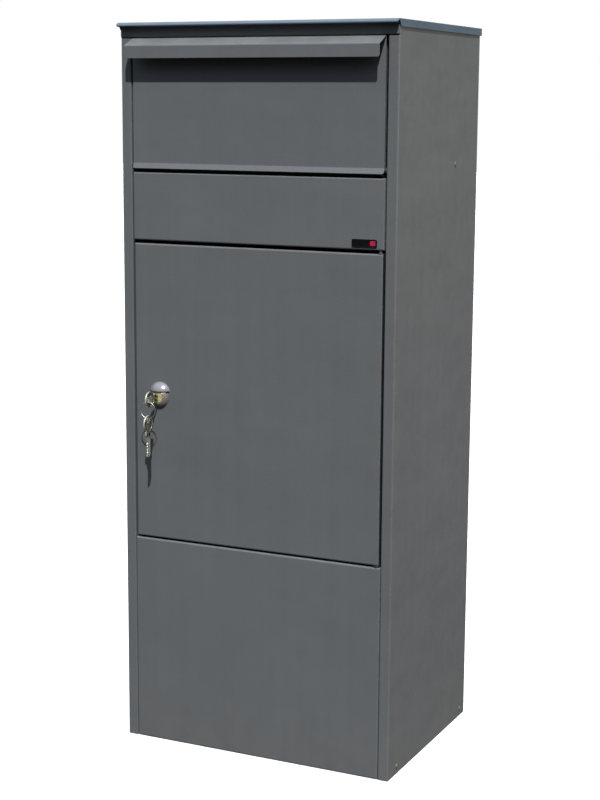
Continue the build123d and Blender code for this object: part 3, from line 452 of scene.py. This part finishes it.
def rounded_box(low, high, radius):
    """Outline of a rectangle with round corners."""
    (x0, y0), (x1, y1) = low, high
    corners = ((x1, y0, -90.0), (x1, y1, 0.0), (x0, y1, 90.0), (x0, y0, 180.0))
    points = []
    for x, y, start in corners:
        centre = (x - radius if x == x1 else x + radius, y - radius if y == y1 else y + radius)
        points += arc(radius, start, start + 90.0, centre, 8)
    return points


def slab(loops, thick, edge, lift=0.0):
    """Mesh of a flat plate in the XY plane with rounded edges, from its outline and its holes' loops."""
    curve = bpy.data.curves.new("slab", "CURVE")
    curve.dimensions = "2D"
    curve.fill_mode = "BOTH"
    curve.extrude = thick / 2 - edge
    curve.bevel_depth = edge
    curve.bevel_resolution = 2
    curve.offset = -edge
    for loop in loops:
        spline = curve.splines.new("POLY")
        spline.points.add(len(loop) - 1)
        for point, (x, y) in zip(spline.points, loop):
            point.co = (x, y, 0.0, 1.0)
        spline.use_cyclic_u = True
    holder = bpy.data.objects.new("slab", curve)
    mesh = bpy.data.meshes.new_from_object(holder)
    mesh.transform(Matrix.Translation((0.0, 0.0, lift)))
    bpy.data.objects.remove(holder)
    bpy.data.curves.remove(curve)
    return mesh


def joined(name, meshes):
    """One object of several meshes, smooth except at its sharp edges."""
    things = [bpy.data.objects.new(name, mesh) for mesh in meshes]
    for thing in things:
        bpy.context.scene.collection.objects.link(thing)
    with bpy.context.temp_override(active_object=things[0], selected_editable_objects=things):
        bpy.ops.object.join()
    things[0].data.shade_smooth()
    things[0].data.set_sharp_from_angle(angle=math.radians(35.0))
    return things[0]


def finish_piece(piece, body, material, place, across, above):
    """Puts a piece made in the XY plane in its place: its x along across and its y along above."""
    outward = Vector(across).cross(Vector(above))
    turn = Matrix((Vector(across), Vector(above), outward)).transposed().to_4x4()
    piece.matrix_world = Matrix.Translation(place) @ turn
    piece.data.materials.clear()
    piece.data.materials.append(material)
    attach(piece, body)


# ---------------------------------------------------------------- keys and ring
def blade_top(start, end):
    """The cut edge of a key's blade from start to end along the key, back to front."""
    half = KEY_WIDTH / 2
    points = [(end, half / 4), (end - half / 2, half)]
    for step, depth in reversed(list(enumerate(KEY_CUT_DEPTHS))):
        centre = start + (KEY_CUT_START + KEY_CUT_PITCH * step) * MM
        floor = half - depth * MM
        bottom = KEY_CUT_FLAT * MM
        top = bottom + depth * MM
        points += [
            (centre + top, half), (centre + bottom, floor),
            (centre - bottom, floor), (centre - top, half),
        ]
    return points


def key_piece(name, bow, length):
    """Key with its bow's centre at the origin and its blade along +X.

    A thin core carries the collar, the bow's rim, the hole's boss, the blade's two lands and the ribs.
    """
    half = KEY_WIDTH / 2
    neck_angle = math.degrees(math.asin(half / bow))
    shoulder = bow + KEY_NECK
    tip = length - bow
    cut_edge = blade_top(shoulder, tip)
    bottom = [(shoulder, -half), (tip - half, -half), (tip, -half / 4)]
    hole_centre = (-KEY_HOLE_OFFSET, 0.0)
    outline = arc(bow, neck_angle, 360.0 - neck_angle) + bottom + cut_edge + [(shoulder, half)]
    groove_low, groove_high = KEY_GROOVE
    land_start = bow + KEY_LAND_GAP
    land_end = tip - half / 2
    lower_land = [(land_start, -half), bottom[1], (land_end, groove_low), (land_start, groove_low)]
    upper_cuts = [point for point in cut_edge if point[0] < tip - half / 4]
    upper_land = [(land_start, groove_high), (land_end, groove_high), *upper_cuts, (land_start, half)]
    collar_start = bow - KEY_COLLAR_OVERLAP
    collar_low = (collar_start, -KEY_COLLAR_HALF)
    collar_high = (collar_start + KEY_COLLAR_LENGTH, KEY_COLLAR_HALF)
    raised = [
        (rounded_box(collar_low, collar_high, KEY_COLLAR_CORNER),),
        (disc(bow), hole(bow - KEY_RIM)),
        (disc(KEY_HOLE_BOSS, hole_centre), hole(KEY_HOLE_RADIUS, hole_centre)),
        (lower_land,),
        (upper_land,),
    ]
    meshes = [slab((outline, hole(KEY_HOLE_RADIUS, hole_centre)), KEY_CORE, SLAB_EDGE)]
    meshes += [slab(loops, KEY_THICK, SLAB_EDGE) for loops in raised]
    for step, rib in enumerate(KEY_RIB_LENGTHS):
        x = (step - 1) * KEY_RIB_PITCH * MM
        across = KEY_RIB_HALF * MM
        reach = rib * MM / 2
        box = rounded_box((x - across, -reach), (x + across, reach), KEY_RIB_CORNER)
        meshes.append(slab((box,), KEY_RIB_THICK, SLAB_EDGE))
    return joined(name, meshes)


def make_lock_key():
    low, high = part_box("key")
    bow = (high[2] - low[2]) / 2
    piece = key_piece("lock_key_detail", bow, high[1] - low[1])
    place = ((low[0] + high[0]) / 2, low[1] + bow, (low[2] + high[2]) / 2)
    finish_piece(piece, "lock_key", MATERIALS["key_nickel"], place, (0, 1, 0), (0, 0, 1))
    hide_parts("key")


def make_spare_key():
    low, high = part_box("spare_key")
    bow = (high[1] - low[1]) / 2
    piece = key_piece("spare_key_detail", bow, high[2] - low[2])
    place = ((low[0] + high[0]) / 2, (low[1] + high[1]) / 2, high[2] - bow)
    finish_piece(piece, "hanging_key", MATERIALS["key_nickel"], place, (0, 0, -1), (0, -1, 0))
    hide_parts("spare_key")


def make_split_ring():
    """Split ring: two coils of wire side by side that cross over at one place."""
    low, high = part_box("key_ring")
    coil = (high[0] - low[0] - (high[1] - low[1])) / 2
    curve = bpy.data.curves.new("split_ring", "CURVE")
    curve.dimensions = "3D"
    curve.bevel_depth = WIRE_RADIUS
    curve.bevel_resolution = 4
    curve.use_fill_caps = True
    spline = curve.splines.new("POLY")
    spline.points.add(RING_STEPS)
    for step, point in enumerate(spline.points):
        along = step / RING_STEPS
        angle = 2.0 * math.pi * RING_TURNS * along + RING_START
        side = math.tanh((along - 0.5) * RING_CROSSING) * (WIRE_RADIUS + WIRE_FIT)
        point.co = (coil * math.cos(angle), coil * math.sin(angle), side, 1.0)
    holder = bpy.data.objects.new("split_ring", curve)
    piece = joined("split_ring", [bpy.data.meshes.new_from_object(holder)])
    bpy.data.objects.remove(holder)
    steel = MATERIALS["ring_steel"]
    finish_piece(piece, "ring", steel, middle("key_ring"), (1, 0, 0), (0, 0, 1))
    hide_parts("key_ring")


# ---------------------------------------------------------------- badge
def make_badge():
    """Plain plate with a raised border and one plain inlay; it has no lettering."""
    low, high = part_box("badge")
    half_x = (high[0] - low[0]) / 2
    half_z = (high[2] - low[2]) / 2
    thick = high[1] - low[1]
    back = ((low[0] + high[0]) / 2, high[1], (low[2] + high[2]) / 2)
    outline = rounded_box((-half_x, -half_z), (half_x, half_z), BADGE_CORNER)
    inner_x = half_x - BADGE_RIM
    inner_z = half_z - BADGE_RIM
    inside = rounded_box((-inner_x, -inner_z), (inner_x, inner_z), BADGE_CORNER - BADGE_RIM)
    inlay_x = half_x - INLAY_MARGIN
    inlay_z = half_z - INLAY_MARGIN
    inlay = rounded_box((inlay_x - INLAY_WIDTH, -inlay_z), (inlay_x, inlay_z), INLAY_CORNER)
    plate = joined("badge_plate", [slab((outline,), thick * 0.75, 0.2 * MM, thick * 0.375)])
    border = joined("badge_border", [slab((outline, inside[::-1]), thick, 0.12 * MM, thick * 0.5)])
    patch = joined("badge_inlay", [slab((inlay,), thick * 0.9, 0.2 * MM, thick * 0.45)])
    black = MATERIALS["badge_plastic"]
    for piece, material in ((plate, black), (border, black), (patch, BADGE_INLAY)):
        finish_piece(piece, "cabinet", material, back, (1, 0, 0), (0, 0, 1))
    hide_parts("badge")


paint_cad()
make_lock_key()
make_spare_key()
make_split_ring()
make_badge()


# ---------------------------------------------------------------- stage
def make_stage():
    bpy.ops.mesh.primitive_plane_add(size=FLOOR_SIZE, location=(0, 0, 0))
    floor = bpy.context.object
    floor.name = "floor"
    material, tree, shader = new_material("floor_pale")
    feed(tree, shader.inputs["Base Color"], FLOOR_WHITE)
    feed(tree, shader.inputs["Roughness"], FLOOR_ROUGHNESS)
    floor.data.materials.append(material)
    floor.visible_diffuse = False
    floor.visible_glossy = False


def make_sky():
    """Dim ground, brighter horizon and a cool bright zenith; the camera itself sees plain white."""
    world = bpy.data.worlds.new("studio")
    bpy.context.scene.world = world
    world.use_nodes = True
    tree = world.node_tree
    direction = node(tree, "ShaderNodeTexCoord").outputs["Generated"]
    split = node(tree, "ShaderNodeSeparateXYZ")
    feed(tree, split.inputs["Vector"], direction)
    colours = node(tree, "ShaderNodeValToRGB")
    elements = colours.color_ramp.elements
    elements.new(0.5)
    for element, (position, colour) in zip(elements, SKY_STEPS):
        element.position = position
        element.color = (*colour, 1)
    feed(tree, colours.inputs["Fac"], ramp(tree, split.outputs["Z"], 0.0, 1.0, -1.0, 1.0))
    light = tree.nodes["Background"]
    feed(tree, light.inputs["Color"], colours.outputs["Color"])
    white = node(tree, "ShaderNodeBackground", Color=(1, 1, 1, 1))
    ray = node(tree, "ShaderNodeLightPath")
    blend = node(tree, "ShaderNodeMixShader")
    feed(tree, blend.inputs["Fac"], ray.outputs["Is Camera Ray"])
    feed(tree, blend.inputs[1], light.outputs["Background"])
    feed(tree, blend.inputs[2], white.outputs["Background"])
    feed(tree, tree.nodes["World Output"].inputs["Surface"], blend.outputs["Shader"])


def make_sun():
    sun = bpy.data.lights.new("key", "SUN")
    sun.energy = SUN_STRENGTH
    sun.angle = math.radians(SUN_ANGLE)
    sun.color = SUN_COLOUR
    lamp = bpy.data.objects.new("key", sun)
    lamp.rotation_euler = Vector(SUN_FROM).to_track_quat("Z", "Y").to_euler()
    bpy.context.scene.collection.objects.link(lamp)


def make_side_lamp():
    """Large soft lamp that fills the right side and leaves the front alone."""
    area = bpy.data.lights.new("fill", "AREA")
    area.size = SIDE_LAMP_SIZE
    area.energy = SIDE_LAMP_POWER
    area.color = SIDE_LAMP_COLOUR
    lamp = bpy.data.objects.new("fill", area)
    lamp.location = SIDE_LAMP_PLACE
    lamp.rotation_euler = (Vector(SIDE_LAMP_PLACE) - Vector(SIDE_LAMP_AIM)).to_track_quat("Z", "Y").to_euler()
    bpy.context.scene.collection.objects.link(lamp)


def make_camera():
    azimuth = math.radians(CAMERA_AZIMUTH)
    elevation = math.radians(CAMERA_ELEVATION)
    roll = math.radians(CAMERA_ROLL)
    back = Vector((
        math.sin(azimuth) * math.cos(elevation),
        -math.cos(azimuth) * math.cos(elevation),
        math.sin(elevation),
    ))
    right = Vector((0, 0, 1)).cross(back).normalized()
    up = back.cross(right)
    across = right * math.cos(roll) + up * math.sin(roll)
    above = up * math.cos(roll) - right * math.sin(roll)
    camera = bpy.data.cameras.new("camera")
    camera.lens = CAMERA_LENS
    camera.sensor_width = CAMERA_SENSOR
    camera.clip_end = 100.0
    thing = bpy.data.objects.new("camera", camera)
    thing.matrix_world = Matrix((across, above, back)).transposed().to_4x4()
    thing.location = CAMERA_PLACE
    bpy.context.scene.collection.objects.link(thing)
    bpy.context.scene.camera = thing


make_stage()
make_sky()
make_sun()
make_side_lamp()
make_camera()
bpy.context.scene.view_settings.view_transform = "Standard"
